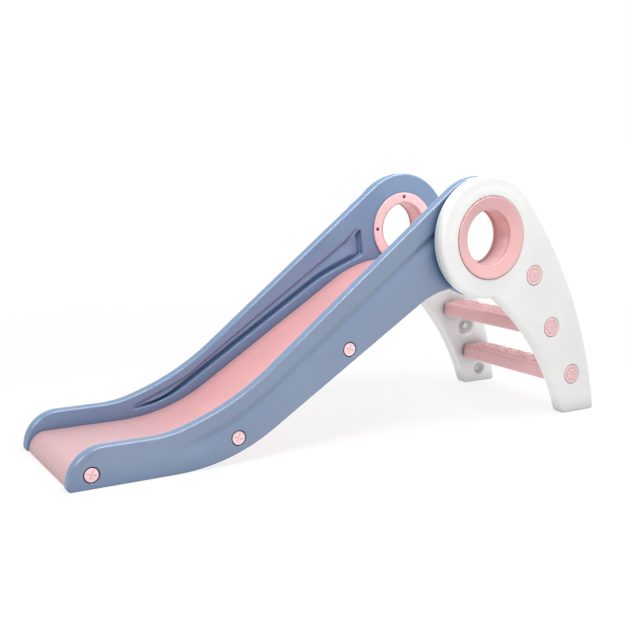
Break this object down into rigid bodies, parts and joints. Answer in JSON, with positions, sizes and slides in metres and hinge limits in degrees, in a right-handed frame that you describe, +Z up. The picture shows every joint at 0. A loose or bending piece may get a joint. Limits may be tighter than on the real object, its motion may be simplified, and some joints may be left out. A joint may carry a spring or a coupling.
{
  "type": "toddler slide",
  "caption": "Folding moulded toddler slide: blue side panels with round heads, pink bed and steps, white curved legs that fold about a ring-shaped hub.",
  "frame": {"origin": "on the floor, in the middle of the slide's length and width", "axes": "+X from the toe towards the steps, +Y to the right of a child sitting at the top and facing the toe, +Z up"},
  "size_m": [1.378, 0.434, 0.606],
  "materials": {
    "panel_blue": "satin moulded polyethylene, grey blue",
    "moulded_pink": "satin moulded polyethylene, pale pink",
    "leg_white": "satin moulded polyethylene, warm white",
    "ring_pink": "smooth injection moulded, pale pink",
    "cap_pink": "smooth injection moulded, pale pink",
    "washer_white": "natural low-friction plastic",
    "screw_steel": "zinc plated",
    "bolt_steel": "zinc plated",
    "insert_brass": "turned, as cast"
  },
  "bodies": {
    "slide": {"bed_bolts": "bolt_steel", "bed_inserts": "insert_brass", "hub_inner_ring_left": "ring_pink", "hub_inner_ring_right": "ring_pink", "hub_outer_ring_left": "ring_pink", "hub_outer_ring_right": "ring_pink", "hub_screws_left": "screw_steel", "hub_screws_right": "screw_steel", "panel_caps_left": "cap_pink", "panel_caps_right": "cap_pink", "pivot_washer_left": "washer_white", "pivot_washer_right": "washer_white", "side_panel_left": "panel_blue", "side_panel_right": "panel_blue", "slide_bed": "moulded_pink"},
    "ladder": {"leg_caps_left": "cap_pink", "leg_caps_right": "cap_pink", "leg_panel_left": "leg_white", "leg_panel_right": "leg_white", "lower_step": "moulded_pink", "middle_step": "moulded_pink", "step_bolts": "bolt_steel", "step_inserts": "insert_brass", "top_tie_bar": "moulded_pink"}
  },
  "joints": [
    {"name": "ladder_fold", "type": "hinge", "parent": "slide", "child": "ladder", "pos_m": [0.329, 0, 0.461], "axis": [0, 1, 0], "range_deg": [0, 80]}
  ]
}
